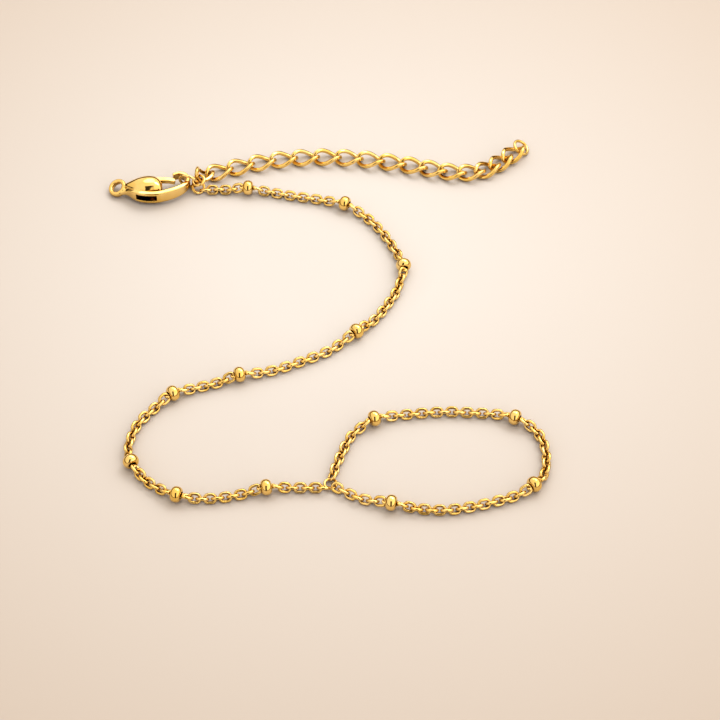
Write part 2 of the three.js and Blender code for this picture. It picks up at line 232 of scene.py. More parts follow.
class BraceletGoldSettings(bpy.types.PropertyGroup):
    """Colours and gloss of the gold plate."""

    bright: FloatVectorProperty(
        name="Bright", description="Colour of the gold where it is cleanest",
        subtype="COLOR", size=3, default=(0.90, 0.645, 0.26), min=0, max=1)
    deep: FloatVectorProperty(
        name="Deep", description="Colour of the gold where it is richest",
        subtype="COLOR", size=3, default=(0.84, 0.555, 0.15), min=0, max=1)
    # Painted shade: the dark brown that the gold is mixed towards in its grooves, slots and joints, where
    # shade falls
    painted_shade: FloatVectorProperty(
        name="Recess", description="Colour of the gold deep in its grooves and joints",
        subtype="COLOR", size=3, default=(0.18, 0.07, 0.01), min=0, max=1)
    painted_shade_depth: FloatProperty(
        name="Recess Depth", description="Distance within which metal darkens the metal beside it",
        default=0.7 * MM, unit="LENGTH", precision=5)
    roughness: FloatProperty(
        name="Roughness", description="Roughness of the polished plate",
        default=0.07, min=0, max=1, subtype="FACTOR")


class BraceletStageSettings(bpy.types.PropertyGroup):
    """Surface, lights and camera."""

    surface: FloatVectorProperty(
        name="Surface", description="Colour of the surface that the bracelet lies on",
        subtype="COLOR", size=3, default=(0.645, 0.615, 0.60), min=0, max=1)
    key_power: FloatProperty(name="Key", description="Power of the key light in watts", default=0.42)
    back_power: FloatProperty(name="Back", description="Power of the back light in watts", default=0.2)
    room_strength: FloatProperty(name="Room", description="Strength of the room's soft light", default=1.55)
    elevation: FloatProperty(
        name="Elevation", description="Angle of the camera above the surface",
        default=math.radians(50), unit="ROTATION")
    distance: FloatProperty(
        name="Distance", description="Distance of the camera from the point it looks at",
        default=313.5 * MM, unit="LENGTH")
    lens: FloatProperty(
        name="Lens", description="Focal length of the camera in millimetres",
        default=110, min=1)


# ------------------------------------------------------------------ meshes

def new_piece(name, vertices, faces):
    """A smooth mesh object at the origin, with its place in its mesh."""
    mesh = bpy.data.meshes.new(name)
    mesh.from_pydata(vertices, [], faces)
    mesh.validate()
    mesh.shade_smooth()
    piece = bpy.data.objects.new(name, mesh)
    bpy.context.scene.collection.objects.link(piece)
    return piece


def skin(rings, closed):
    """Vertices and faces of a skin through rings of points that all have the same count."""
    sides = len(rings[0])
    vertices = [point for ring in rings for point in ring]
    faces = []
    spans = len(rings) if closed else len(rings) - 1
    for i in range(spans):
        here = i * sides
        there = ((i + 1) % len(rings)) * sides
        for k in range(sides):
            nearby = (k + 1) % sides
            faces.append((here + k, here + nearby, there + nearby, there + k))
    if not closed:
        last = (len(rings) - 1) * sides
        faces.append(tuple(range(sides - 1, -1, -1)))
        faces.append(tuple(range(last, last + sides)))
    return vertices, faces


def smooth_rows(rows, steps):
    """Rows of a table with smooth steps worked out between them, through every row."""
    out = []
    count = len(rows)
    for i in range(count - 1):
        before = rows[i - 1] if i > 0 else [2 * a - b for a, b in zip(rows[0], rows[1])]
        after = rows[i + 2] if i + 2 < count else [2 * a - b for a, b in zip(rows[-1], rows[-2])]
        for k in range(steps):
            out.append(smooth_row(before, rows[i], rows[i + 1], after, k / steps))
    out.append(tuple(rows[-1]))
    return out


def smooth_row(before, here, there, after, t):
    """One row between two others, on a curve that passes through them smoothly."""
    values = []
    for b, h, n, a in zip(before, here, there, after):
        leave = (n - b) / 2
        arrive = (a - h) / 2
        cubic = 2 * h - 2 * n + leave + arrive
        square = -3 * h + 3 * n - 2 * leave - arrive
        values.append(((cubic * t + square) * t + leave) * t + h)
    return tuple(values)


def rounded_ring(centre, across, up, sides, squareness):
    """Ring of points round a centre: an ellipse at squareness 2, nearly a rectangle at 6."""
    ring = []
    for k in range(sides):
        angle = 2 * math.pi * k / sides
        c, s = math.cos(angle), math.sin(angle)
        x = math.copysign(abs(c) ** (2 / squareness), c)
        y = math.copysign(abs(s) ** (2 / squareness), s)
        ring.append(centre + across * x + up * y)
    return ring


def closed_wire(centreline, wire, sides, squareness=2):
    """Vertices and faces of a wire along a centre line that goes once round its own middle."""
    middle = sum(centreline, Vector()) / len(centreline)
    rings = []
    for i, point in enumerate(centreline):
        along = (centreline[(i + 1) % len(centreline)] - centreline[i - 1]).normalized()
        outward = point - middle
        outward = (outward - along * outward.dot(along)).normalized()
        up = along.cross(outward)
        rings.append(rounded_ring(point, outward * wire / 2, up * wire / 2, sides, squareness))
    return skin(rings, True)


def circle_line(radius, steps):
    return [
        Vector((radius * math.cos(2 * math.pi * i / steps), radius * math.sin(2 * math.pi * i / steps), 0))
        for i in range(steps)
    ]


def prism(name, outline, height, middle):
    """Upright prism over an outline in plan, centred on the given height."""
    count = len(outline)
    low = [Vector((x, y, middle - height / 2)) for x, y in outline]
    high = [Vector((x, y, middle + height / 2)) for x, y in outline]
    faces = [(k, (k + 1) % count, count + (k + 1) % count, count + k) for k in range(count)]
    faces.append(tuple(range(count - 1, -1, -1)))
    faces.append(tuple(range(count, 2 * count)))
    piece = new_piece(name, low + high, faces)
    point_faces_out(piece)
    return piece


def cylinder(name, place, axis, radius, height, sides=32):
    """Closed round bar centred on a place, along an axis."""
    turn = Vector(axis).to_track_quat("Z", "Y")
    rings = []
    for end in (-height / 2, height / 2):
        ring = [turn @ (point + Vector((0, 0, end))) + Vector(place) for point in circle_line(radius, sides)]
        rings.append(ring)
    piece = new_piece(name, *skin(rings, False))
    point_faces_out(piece)
    return piece


def point_faces_out(piece):
    """Makes a closed mesh's faces point outwards."""
    work = bmesh.new()
    work.from_mesh(piece.data)
    bmesh.ops.recalc_face_normals(work, faces=work.faces)
    work.to_mesh(piece.data)
    work.free()


def apply_modifiers(piece):
    """Turns a piece and its modifiers into a plain mesh."""
    evaluated = piece.evaluated_get(bpy.context.evaluated_depsgraph_get())
    mesh = bpy.data.meshes.new_from_object(evaluated)
    piece.modifiers.clear()
    old = piece.data
    piece.data = mesh
    mesh.name = piece.name
    bpy.data.meshes.remove(old)
    if not mesh.polygons:
        raise RuntimeError(f"{piece.name} came out empty")


def cut(piece, cutter):
    """Cuts one closed mesh out of another and removes the cutter."""
    change = piece.modifiers.new("cut", "BOOLEAN")
    change.operation = "DIFFERENCE"
    change.solver = "EXACT"
    change.object = cutter
    apply_modifiers(piece)
    bpy.data.objects.remove(cutter)


def join(name, pieces):
    """One mesh from several closed ones."""
    work = bmesh.new()
    for piece in pieces:
        work.from_mesh(piece.data)
        bpy.data.objects.remove(piece)
    mesh = bpy.data.meshes.new(name)
    work.to_mesh(mesh)
    work.free()
    joined = bpy.data.objects.new(name, mesh)
    bpy.context.scene.collection.objects.link(joined)
    return joined


def cast(piece, detail, polish):
    """Melts overlapping closed forms into one polished casting with softened edges."""
    piece.data.transform(Matrix.Scale(1 / MM, 4))
    remesh = piece.modifiers.new("cast", "REMESH")
    remesh.mode = "VOXEL"
    remesh.voxel_size = detail / MM
    remesh.use_smooth_shade = True
    smooth = piece.modifiers.new("polish", "SMOOTH")
    smooth.factor = 0.5
    smooth.iterations = polish
    apply_modifiers(piece)
    piece.data.transform(Matrix.Scale(MM, 4))
    piece.data.shade_smooth()


def keep_above_surface(piece):
    """Flattens what would reach below the surface that the bracelet lies on."""
    for vertex in piece.data.vertices:
        vertex.co.z = max(vertex.co.z, 0.0)


# ------------------------------------------------------------------ node trees

def add_node(tree, kind, inputs=None, **settings):
    """Adds a node, sets its properties, and sets or links its inputs by name or number."""
    node = tree.nodes.new(kind)
    for name, value in settings.items():
        setattr(node, name, value)
    for key, value in (inputs or {}).items():
        socket = node.inputs[key]
        if isinstance(value, bpy.types.NodeSocket):
            tree.links.new(value, socket)
        else:
            socket.default_value = value
    return node


def new_geometry_tree(name, sockets):
    """Geometry node tree with a geometry in and out and the named inputs; returns it and its inputs."""
    tree = bpy.data.node_groups.new(name, "GeometryNodeTree")
    tree.is_modifier = True
    tree.interface.new_socket(name="Geometry", in_out="INPUT", socket_type="NodeSocketGeometry")
    for label, kind in sockets.items():
        tree.interface.new_socket(name=label, in_out="INPUT", socket_type=kind)
    tree.interface.new_socket(name="Geometry", in_out="OUTPUT", socket_type="NodeSocketGeometry")
    return tree, add_node(tree, "NodeGroupInput").outputs


def finish_geometry_tree(tree, geometry, material):
    """Realizes the copies, gives them their material and puts them out."""
    real = add_node(tree, "GeometryNodeRealizeInstances", {"Geometry": geometry})
    smooth = add_node(tree, "GeometryNodeSetShadeSmooth", {"Geometry": real.outputs[0]})
    painted = add_node(
        tree, "GeometryNodeSetMaterial", {"Geometry": smooth.outputs[0], "Material": material})
    add_node(tree, "NodeGroupOutput", {"Geometry": painted.outputs[0]})


def cable_chain_tree():
    """Tree that threads cable links along every spline, each turned a quarter from the one before."""
    tree, given = new_geometry_tree("Cable Chain", {
        "Link Length": "NodeSocketFloat",
        "Link Width": "NodeSocketFloat",
        "Wire": "NodeSocketFloat",
        "Pitch": "NodeSocketFloat",
        "Roll": "NodeSocketFloat",
        "Slack": "NodeSocketFloat",
        "Seed": "NodeSocketInt",
        "Material": "NodeSocketMaterial",
    })

    def maths(operation, *values):
        return add_node(tree, "ShaderNodeMath", dict(enumerate(values)), operation=operation).outputs[0]

    # Stations at about the usual pitch, and always close enough that each link is caught in the next
    inner_length = maths("SUBTRACT", given["Link Length"], maths("MULTIPLY", given["Wire"], 2.0))
    spline = add_node(tree, "GeometryNodeSplineLength").outputs["Length"]
    fewest = maths("CEIL", maths("DIVIDE", spline, inner_length))
    spans = maths("MAXIMUM", fewest, maths("ROUND", maths("DIVIDE", spline, given["Pitch"])))
    stations = add_node(
        tree, "GeometryNodeResampleCurve",
        {"Curve": given["Geometry"], "Count": maths("ADD", spans, 1.0)}, mode="COUNT")

    # Each link's roll: to one side and the other in turn, and a little at random
    index = add_node(tree, "GeometryNodeSplineParameter").outputs["Index"]
    side = maths("SUBTRACT", maths("MULTIPLY", maths("MODULO", index, 2.0), 2.0), 1.0)
    loose = add_node(tree, "FunctionNodeRandomValue", {
        2: maths("MULTIPLY", given["Slack"], -1.0), 3: given["Slack"], "Seed": given["Seed"],
    }, data_type="FLOAT").outputs[1]
    rolled = add_node(tree, "GeometryNodeStoreNamedAttribute", {
        "Geometry": stations.outputs[0], "Name": "roll",
        "Value": maths("ADD", maths("MULTIPLY", side, given["Roll"]), loose),
    }, data_type="FLOAT", domain="POINT")
    points = add_node(
        tree, "GeometryNodeCurveToPoints", {"Curve": rolled.outputs[0]}, mode="EVALUATED")
    roll = add_node(
        tree, "GeometryNodeInputNamedAttribute", {"Name": "roll"}, data_type="FLOAT").outputs[0]

    along = add_node(tree, "FunctionNodeAxesToRotation", {
        "Primary Axis": points.outputs["Tangent"], "Secondary Axis": (0.0, 0.0, 1.0),
    }, primary_axis="X", secondary_axis="Z")
    turn = add_node(tree, "ShaderNodeCombineXYZ", {"X": roll})
    turn = add_node(tree, "FunctionNodeEulerToRotation", {0: turn.outputs[0]})
    rotation = add_node(tree, "FunctionNodeRotateRotation", {
        "Rotation": along.outputs[0], "Rotate By": turn.outputs[0],
    }, rotation_space="LOCAL")

    # One link of round wire, a rectangle with well rounded corners
    length = maths("SUBTRACT", given["Link Length"], given["Wire"])
    width = maths("SUBTRACT", given["Link Width"], given["Wire"])
    box = add_node(tree, "GeometryNodeCurvePrimitiveQuadrilateral", {"Width": length, "Height": width})
    oval = add_node(tree, "GeometryNodeFilletCurve", {
        "Curve": box.outputs[0], "Radius": maths("MULTIPLY", width, 0.44), "Count": 3}, mode="POLY")
    section = add_node(tree, "GeometryNodeCurvePrimitiveCircle", {
        "Resolution": 6, "Radius": maths("DIVIDE", given["Wire"], 2.0)}, mode="RADIUS")
    link = add_node(tree, "GeometryNodeCurveToMesh", {
        "Curve": oval.outputs[0], "Profile Curve": section.outputs[0]})

    copies = add_node(tree, "GeometryNodeInstanceOnPoints", {
        "Points": points.outputs["Points"], "Instance": link.outputs[0], "Rotation": rotation.outputs[0]})
    finish_geometry_tree(tree, copies.outputs[0], given["Material"])
    return tree


def set_out_tree():
    """Tree that sets out copies of one piece on points that carry their own turn and size."""
    tree, given = new_geometry_tree("Set Out Pieces", {
        "Piece": "NodeSocketObject",
        "Material": "NodeSocketMaterial",
    })
    piece = add_node(
        tree, "GeometryNodeObjectInfo", {"Object": given["Piece"]}, transform_space="ORIGINAL")
    turn = add_node(
        tree, "GeometryNodeInputNamedAttribute", {"Name": "turn"}, data_type="FLOAT_VECTOR").outputs[0]
    size = add_node(
        tree, "GeometryNodeInputNamedAttribute", {"Name": "size"}, data_type="FLOAT").outputs[0]
    rotation = add_node(tree, "FunctionNodeEulerToRotation", {0: turn})
    points = add_node(tree, "GeometryNodeMeshToPoints", {"Mesh": given["Geometry"]})
    copies = add_node(tree, "GeometryNodeInstanceOnPoints", {
        "Points": points.outputs[0], "Instance": piece.outputs["Geometry"],
        "Rotation": rotation.outputs[0], "Scale": size})
    finish_geometry_tree(tree, copies.outputs[0], given["Material"])
    return tree


def run_tree(piece, tree, values):
    """Runs a node tree on a piece with the named inputs and keeps the result as its plain mesh."""
    change = piece.modifiers.new(tree.name, "NODES")
    change.node_group = tree
    for item in tree.interface.items_tree:
        if item.item_type == "SOCKET" and item.in_out == "INPUT" and item.name in values:
            change[item.identifier] = values[item.name]
    evaluated = piece.evaluated_get(bpy.context.evaluated_depsgraph_get())
    mesh = bpy.data.meshes.new_from_object(evaluated)
    name = piece.name
    bpy.data.objects.remove(piece)
    if not mesh.polygons:
        raise RuntimeError(f"{name} came out empty")
    made = bpy.data.objects.new(name, mesh)
    mesh.name = name
    bpy.context.scene.collection.objects.link(made)
    return made


def set_out(name, copy, places, material):
    """Copies of one piece at places, each (position, rotation, size), as one mesh."""
    mesh = bpy.data.meshes.new(name)
    mesh.from_pydata([place for place, turn, size in places], [], [])
    turns = [number for place, turn, size in places for number in turn]
    mesh.attributes.new("turn", "FLOAT_VECTOR", "POINT").data.foreach_set("vector", turns)
    sizes = [size for place, turn, size in places]
    mesh.attributes.new("size", "FLOAT", "POINT").data.foreach_set("value", sizes)
    points = bpy.data.objects.new(name, mesh)
    bpy.context.scene.collection.objects.link(points)
    made = run_tree(points, set_out_tree(), {"Piece": copy, "Material": material})
    bpy.data.objects.remove(copy)
    return made


# ------------------------------------------------------------------ gold

def plated_gold_group():
    """Shader group: slow drift between two golds, faint polishing marks, fine wear and painted shade that
    darkens the gold in its recesses.
    """
    name = "Plated Gold"
    if name in bpy.data.node_groups:
        return bpy.data.node_groups[name]
    group = bpy.data.node_groups.new(name, "ShaderNodeTree")
    for label, kind in (
            ("Bright", "NodeSocketColor"), ("Deep", "NodeSocketColor"), ("Roughness", "NodeSocketFloat"),
            ("Drift Scale", "NodeSocketFloat"), ("Wear", "NodeSocketFloat"),
            ("Recess Color", "NodeSocketColor"), ("Recess Depth", "NodeSocketFloat")):
        group.interface.new_socket(name=label, in_out="INPUT", socket_type=kind)
    for label, kind in (
            ("Color", "NodeSocketColor"), ("Roughness", "NodeSocketFloat"), ("Height", "NodeSocketFloat")):
        group.interface.new_socket(name=label, in_out="OUTPUT", socket_type=kind)
    given = add_node(group, "NodeGroupInput").outputs
    place = add_node(group, "ShaderNodeTexCoord").outputs["Object"]

    drift = add_node(group, "ShaderNodeTexNoise", {
        "Vector": place, "Scale": given["Drift Scale"], "Detail": 2.0, "Roughness": 0.5})
    drift = add_node(group, "ShaderNodeMapRange", {
        "Value": drift.outputs[0], "From Min": 0.35, "From Max": 0.65})
    colour = add_node(group, "ShaderNodeMix", {
        0: drift.outputs[0], 6: given["Bright"], 7: given["Deep"]}, data_type="RGBA")

    # Painted shade: the gold is mixed towards a dark brown where other metal is near, in grooves, the
    # lever's slot and between links
    open_to_air = add_node(group, "ShaderNodeAmbientOcclusion", {
        "Distance": given["Recess Depth"]}, samples=8)
    painted_shade = add_node(group, "ShaderNodeMapRange", {
        "Value": open_to_air.outputs["AO"], "From Min": 0.2, "From Max": 0.8})
    shaded = add_node(group, "ShaderNodeMix", {
        0: painted_shade.outputs[0], 6: given["Recess Color"], 7: colour.outputs[2]}, data_type="RGBA")

    marks_scale = add_node(group, "ShaderNodeMath", {0: given["Drift Scale"], 1: 9.0}, operation="MULTIPLY")
    marks = add_node(group, "ShaderNodeTexNoise", {
        "Vector": place, "Scale": marks_scale.outputs[0], "Detail": 3.0, "Roughness": 0.6})
    worn = add_node(group, "ShaderNodeMapRange", {
        "Value": marks.outputs[0], "From Min": 0.5, "From Max": 0.75, "To Max": given["Wear"]})
    rough = add_node(group, "ShaderNodeMath", {
        0: given["Roughness"], 1: worn.outputs[0]}, operation="ADD")
    add_node(group, "NodeGroupOutput", {
        "Color": shaded.outputs[2], "Roughness": rough.outputs[0], "Height": marks.outputs[0]})
    return group


def gold_material(name, drift_scale, wear, rougher=0.0, bump=0.002, painted_shade=1.0):
    """Polished yellow gold plate, with its own scale of drift and wear."""
    if name in bpy.data.materials:
        return bpy.data.materials[name]
    settings = bpy.context.scene.bracelet_gold
    material = bpy.data.materials.new(name)
    material.use_nodes = True
    tree = material.node_tree
    tree.nodes.clear()
    surface = add_node(tree, "ShaderNodeGroup", node_tree=plated_gold_group())
    surface.inputs["Bright"].default_value = (*settings.bright, 1.0)
    surface.inputs["Deep"].default_value = (*settings.deep, 1.0)
    surface.inputs["Roughness"].default_value = settings.roughness + rougher
    surface.inputs["Drift Scale"].default_value = drift_scale
    surface.inputs["Wear"].default_value = wear
    surface.inputs["Recess Color"].default_value = (*settings.painted_shade, 1.0)
    surface.inputs["Recess Depth"].default_value = settings.painted_shade_depth * painted_shade
    relief = add_node(tree, "ShaderNodeBump", {
        "Height": surface.outputs["Height"], "Strength": bump, "Distance": 0.1 * MM})
    gold = add_node(tree, "ShaderNodeBsdfPrincipled", {
        "Base Color": surface.outputs["Color"], "Roughness": surface.outputs["Roughness"],
        "Metallic": 1.0, "Normal": relief.outputs[0]})
    add_node(tree, "ShaderNodeOutputMaterial", {"Surface": gold.outputs[0]})
    return material


def clasp_gold():
    # The clasp's painted shade in its slot and grooves reaches twice as far as on the other gold
    return gold_material("cast_gold_plate", drift_scale=350, wear=0.10, bump=0.01, painted_shade=2.0)


def wire_gold():
    return gold_material("wire_gold_plate", drift_scale=500, wear=0.08)


def chain_gold():
    return gold_material("chain_gold_plate", drift_scale=700, wear=0.06, rougher=0.02)


def bead_gold():
    return gold_material("bead_gold_plate", drift_scale=450, wear=0.06)


def finish_piece(piece, material, body, nodes):
    """Gives a piece its material, its body and the solids that it stands for."""
    piece.data.materials.clear()
    piece.data.materials.append(material)
    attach(piece, body)
    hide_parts(*nodes)


def nodes_named(*starts):
    return [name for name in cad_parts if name.startswith(starts)]


# ------------------------------------------------------------------ cable chain and beads

class Route:
    """Smooth line through a route's points, with the stations of its beads."""

    def __init__(self, rows):
        steps = 24
        flat = smooth_rows([row[:2] for row in rows], steps)
        self.points = [Vector((x * MM, y * MM, 0)) for x, y in flat]
        self.stations = [0.0]
        for a, b in zip(self.points, self.points[1:]):
            self.stations.append(self.stations[-1] + (b - a).length)
        self.length = self.stations[-1]
        self.beads = [self.stations[i * steps] for i, row in enumerate(rows) if len(row) > 2]

    def at(self, station):
        """Point in plan at a distance along the route."""
        for i in range(len(self.points) - 1):
            if self.stations[i + 1] >= station:
                share = (station - self.stations[i]) / (self.stations[i + 1] - self.stations[i])
                return self.points[i].lerp(self.points[i + 1], share)
        return self.points[-1].copy()

    def heading(self, station):
        reach = 0.2 * MM
        ahead = self.at(min(station + reach, self.length)) - self.at(max(station - reach, 0.0))
        return math.atan2(ahead.y, ahead.x)


def chain_height(route, station, chain, beads):
    """Height of the chain's middle: up in the holes of the beads, and else on the surface."""
    lowest = (chain.link_width - chain.wire) / 2 * math.sin(chain.roll + chain.slack) + chain.wire / 2
    away = min(abs(station - bead) for bead in route.beads)
    flat_part = beads.length / 2
    share = min(max((away - flat_part) / chain.bead_slope, 0.0), 1.0)
    return lowest + (beads.diameter / 2 - lowest) * (1 + math.cos(math.pi * share)) / 2


def chain_curve(name, route, chain, beads):
    """Curve with one spline for each stretch of chain between two beads."""
    curve = bpy.data.curves.new(name, "CURVE")
    curve.dimensions = "3D"
    starts = [0.0] + [bead + chain.bead_reach for bead in route.beads]
    ends = [bead - chain.bead_reach for bead in route.beads] + [route.length]
    for start, end in zip(starts, ends):
        count = max(4, round((end - start) / (0.3 * MM)))
        spline = curve.splines.new("POLY")
        spline.points.add(count - 1)
        for i in range(count):
            station = start + (end - start) * i / (count - 1)
            place = route.at(station)
            spline.points[i].co = (place.x, place.y, chain_height(route, station, chain, beads), 1)
    piece = bpy.data.objects.new(name, curve)
    bpy.context.scene.collection.objects.link(piece)
    return piece


def bead_places(route, beads):
    places = []
    for station in route.beads:
        place = route.at(station)
        place.z = beads.diameter / 2
        places.append((place, (0.0, 0.0, route.heading(station)), 1.0))
    return places


# Link inside a bead: its wire as a share of the hole, the room round it and the steps of a round end
INNER_WIRE_SHARE = 0.42
INNER_ROOM = 0.03 * MM
INNER_END_STEPS = 10


def inner_link(chain, beads):
    """Narrow link with round ends that runs through a bead's hole and reaches the link at each side."""
    wire = INNER_WIRE_SHARE * beads.hole
    reach = chain.bead_reach - (chain.link_length - chain.wire) / 2 + (chain.wire + wire) / 2
    narrow = (beads.hole - wire) / 2 - INNER_ROOM
    line = []
    for side in (1, -1):
        for k in range(INNER_END_STEPS + 1):
            turn = math.pi * (k / INNER_END_STEPS - 0.5)
            end = reach - narrow + narrow * math.cos(turn)
            line.append(Vector((side * end, side * narrow * math.sin(turn), 0)))
    return new_piece("bead_link", *closed_wire(line, wire, 8))


def bead_form(beads, around=26, turns=40, fullness=0.8):
    """Rondelle round the X axis: a plump rim, and faces that roll over into the hole."""
    outer, hole, half = beads.diameter / 2, beads.hole / 2, beads.length / 2
    widest = outer - fullness * (outer - hole)
    section = []
    for k in range(around):
        angle = 2 * math.pi * k / around
        depth = outer - widest if math.sin(angle) > 0 else widest - hole
        section.append(Vector((half * math.cos(angle), widest + depth * math.sin(angle), 0)))
    rings = []
    for i in range(turns):
        turn = Matrix.Rotation(2 * math.pi * i / turns, 3, "X")
        rings.append([turn @ point for point in section])
    form = new_piece("bead", *skin(rings, True))
    point_faces_out(form)
    return form


class BRACELET_OT_cable_chain(bpy.types.Operator):
    """Build the cable chain and the finger loop's chain, link by link"""

    bl_idname = "bracelet.cable_chain"
    bl_label = "Cable Chain"

    def execute(self, context):
        chain = context.scene.bracelet_chain
        beads = context.scene.bracelet_beads
        tree = cable_chain_tree()
        for rows, name, nodes in (
                (MAIN_ROUTE, "main_chain", nodes_named(*(f"chain_{number}" for number in range(1, 10)))),
                (LOOP_ROUTE, "finger_loop_chain", nodes_named("loop_chain_"))):
            route = Route(rows)
            links = run_tree(chain_curve(name + "_links", route, chain, beads), tree, {
                "Link Length": chain.link_length, "Link Width": chain.link_width, "Wire": chain.wire,
                "Pitch": chain.pitch, "Roll": chain.roll, "Slack": chain.slack, "Seed": chain.seed,
                "Material": chain_gold()})
            inner = set_out(
                name + "_inner", inner_link(chain, beads), bead_places(route, beads), chain_gold())
            piece = join(name, [links, inner])
            piece.data.shade_smooth()
            finish_piece(piece, chain_gold(), MAIN_BODY, nodes)
        return {"FINISHED"}


class BRACELET_OT_beads(bpy.types.Operator):
    """Build the rondelle beads of the chain and of the finger loop"""

    bl_idname = "bracelet.beads"
    bl_label = "Beads"

    def execute(self, context):
        beads = context.scene.bracelet_beads
        for rows, name, start in (
                (MAIN_ROUTE, "chain_beads", "bead_"), (LOOP_ROUTE, "finger_loop_beads", "loop_bead_")):
            piece = set_out(name, bead_form(beads), bead_places(Route(rows), beads), bead_gold())
            finish_piece(piece, bead_gold(), MAIN_BODY, nodes_named(start))
        return {"FINISHED"}


# ------------------------------------------------------------------ rings and extender

class BRACELET_OT_rings(bpy.types.Operator):
    """Build the jump rings at the clasp, at the finger loop and at the extender's end"""

    bl_idname = "bracelet.rings"
    bl_label = "Rings"

    def execute(self, context):
        for name, ring in RINGS.items():
            vertices, faces = closed_wire(circle_line(ring["radius"] * MM, 56), ring["wire"] * MM, 16)
            turn = Vector((0, 0, 1)).rotation_difference(Vector(ring["facing"]).normalized())
            place = Vector(ring["place"]) * MM
            piece = new_piece(name + "_wire", [turn @ point + place for point in vertices], faces)
            finish_piece(piece, wire_gold(), MAIN_BODY, [name])
        return {"FINISHED"}


def curb_link(extender):
    """Oval link of pressed wire, twisted one way at each end so that its neighbours lie the same way up."""
    line = []
    for i in range(48):
        angle = 2 * math.pi * i / 48
        along = math.cos(angle)
        side = extender.half_width * math.sin(angle)
        twist = extender.twist * along
        line.append(Vector((extender.half_length * along, side * math.cos(twist), -side * math.sin(twist))))
    return new_piece("curb_link", *closed_wire(line, extender.wire, 16, extender.flatness))


def curb_link_places(resting):
    """Place, turn and size of every curb link, the sloping one first; the rest lie at a resting height."""
    joint = JOINT_LINK
    turn = Euler([math.radians(joint[word]) for word in ("roll", "drop", "heading")])
    places = [(Vector(joint["place"]) * MM, tuple(turn), joint["scale"])]
    for i, row in enumerate(LINK_PLACES):
        before = LINK_PLACES[max(i - 1, 0)]
        after = LINK_PLACES[min(i + 1, len(LINK_PLACES) - 1)]
        lift = row[2] * MM if len(row) > 2 else 0.0
        place = Vector((row[0] * MM, row[1] * MM, resting + lift))
        heading = math.atan2(after[1] - before[1], after[0] - before[0])
        places.append((place, (0.0, 0.0, heading), 1.0))
    return places


class BRACELET_OT_extender(bpy.types.Operator):
    """Build the extender's twisted curb links"""

    bl_idname = "bracelet.extender"
    bl_label = "Extender"

    def execute(self, context):
        extender = context.scene.bracelet_extender
        link = curb_link(extender)
        resting = -min(vertex.co.z for vertex in link.data.vertices)
        piece = set_out("extender_links", link, curb_link_places(resting), wire_gold())
        replaced = nodes_named("extender_link_", "extender_joint")
        finish_piece(piece, wire_gold(), MAIN_BODY, replaced)
        return {"FINISHED"}


# ------------------------------------------------------------------ clasp

def hook_strip():
    """The near side of the clasp and its hook, one tapering strip with a nearly square section."""
    rows = smooth_rows(STRIP_ROWS, 6)
    rings = []
    for i, (x, y, z, thick, high) in enumerate(rows):
        before = rows[max(i - 1, 0)]
        after = rows[min(i + 1, len(rows) - 1)]
        heading = math.atan2(after[1] - before[1], after[0] - before[0])
        across = Vector((-math.sin(heading), math.cos(heading), 0)) * thick / 2 * MM
        up = Vector((0, 0, high / 2 * MM))
        rings.append(rounded_ring(Vector((x, y, z)) * MM, across, up, 40, 6))
    piece = new_piece("hook_strip", *skin(rings, False))
    point_faces_out(piece)
    return piece


def dome():
    """The plump body of the clasp, pointed at the eye and blunt at the gate."""
    rings = []
    for x, y, wide, high in smooth_rows(DOME_ROWS, 6):
        centre = Vector((x, y, CLASP_MIDDLE)) * MM
        rings.append(rounded_ring(centre, Vector((0, wide * MM, 0)), Vector((0, 0, high * MM)), 48, 2.4))
    piece = new_piece("dome", *skin(rings, False))
    point_faces_out(piece)
    return piece


def eye():
    """Ring at the clasp's end, leaning on the surface."""
    outward, up = EYE["wire"] / 2 * MM, Vector((0, 0, EYE["high"] / 2 * MM))
    rings = []
    for point in circle_line(EYE["radius"] * MM, 48):
        rings.append(rounded_ring(point, point.normalized() * outward, up, 24, 3))
    vertices, faces = skin(rings, True)
    turn = Matrix.Rotation(math.radians(-EYE["tilt"]), 3, "Y") @ Matrix.Rotation(
        math.radians(EYE["lean"]), 3, "X")
    place = Vector(EYE["place"]) * MM
    piece = new_piece("eye", [turn @ point + place for point in vertices], faces)
    point_faces_out(piece)
    return piece


def lever_slot():
    outline = [(x * MM, y * MM) for x, y in SLOT_OUTLINE]
    return prism("slot", outline, SLOT_HEIGHT * MM, CLASP_MIDDLE * MM)


class BRACELET_OT_clasp_body(bpy.types.Operator):
    """Build the cast clasp: domed body, hook, eye and pin"""

    bl_idname = "bracelet.clasp_body"
    bl_label = "Clasp Body"

    def execute(self, context):
        clasp = context.scene.bracelet_clasp
        parts = [dome(), hook_strip()]
        for part in parts:
            cut(part, lever_slot())
        place = (PIVOT[0] * MM, PIVOT[1] * MM, CLASP_MIDDLE * MM)
        pin = cylinder("pin", place, (0, 0, 1), PIN_RADIUS * MM, (SLOT_HEIGHT + 2 * PIN_SEAT) * MM)
        piece = join("clasp_casting", parts + [eye(), pin])
        cast(piece, clasp.detail, clasp.polish)
        keep_above_surface(piece)
        finish_piece(piece, clasp_gold(), MAIN_BODY, ["clasp_body"])
        return {"FINISHED"}


class BRACELET_OT_clasp_lever(bpy.types.Operator):
    """Build the clasp's lever with its gate and thumb bar"""

    bl_idname = "bracelet.clasp_lever"
    bl_label = "Clasp Lever"

    def execute(self, context):
        clasp = context.scene.bracelet_clasp
        outline = [((PIVOT[0] + x) * MM, (PIVOT[1] + y) * MM) for x, y in LEVER_OUTLINE]
        piece = prism("clasp_gate", outline, LEVER_HEIGHT * MM, CLASP_MIDDLE * MM)
        place = (PIVOT[0] * MM, PIVOT[1] * MM, CLASP_MIDDLE * MM)
        cut(piece, cylinder("bore", place, (0, 0, 1), LEVER_BORE * MM, 2 * LEVER_HEIGHT * MM))
        cast(piece, clasp.detail, clasp.polish)
        finish_piece(piece, clasp_gold(), LEVER_BODY, ["clasp_lever"])
        return {"FINISHED"}


# ------------------------------------------------------------------ stage

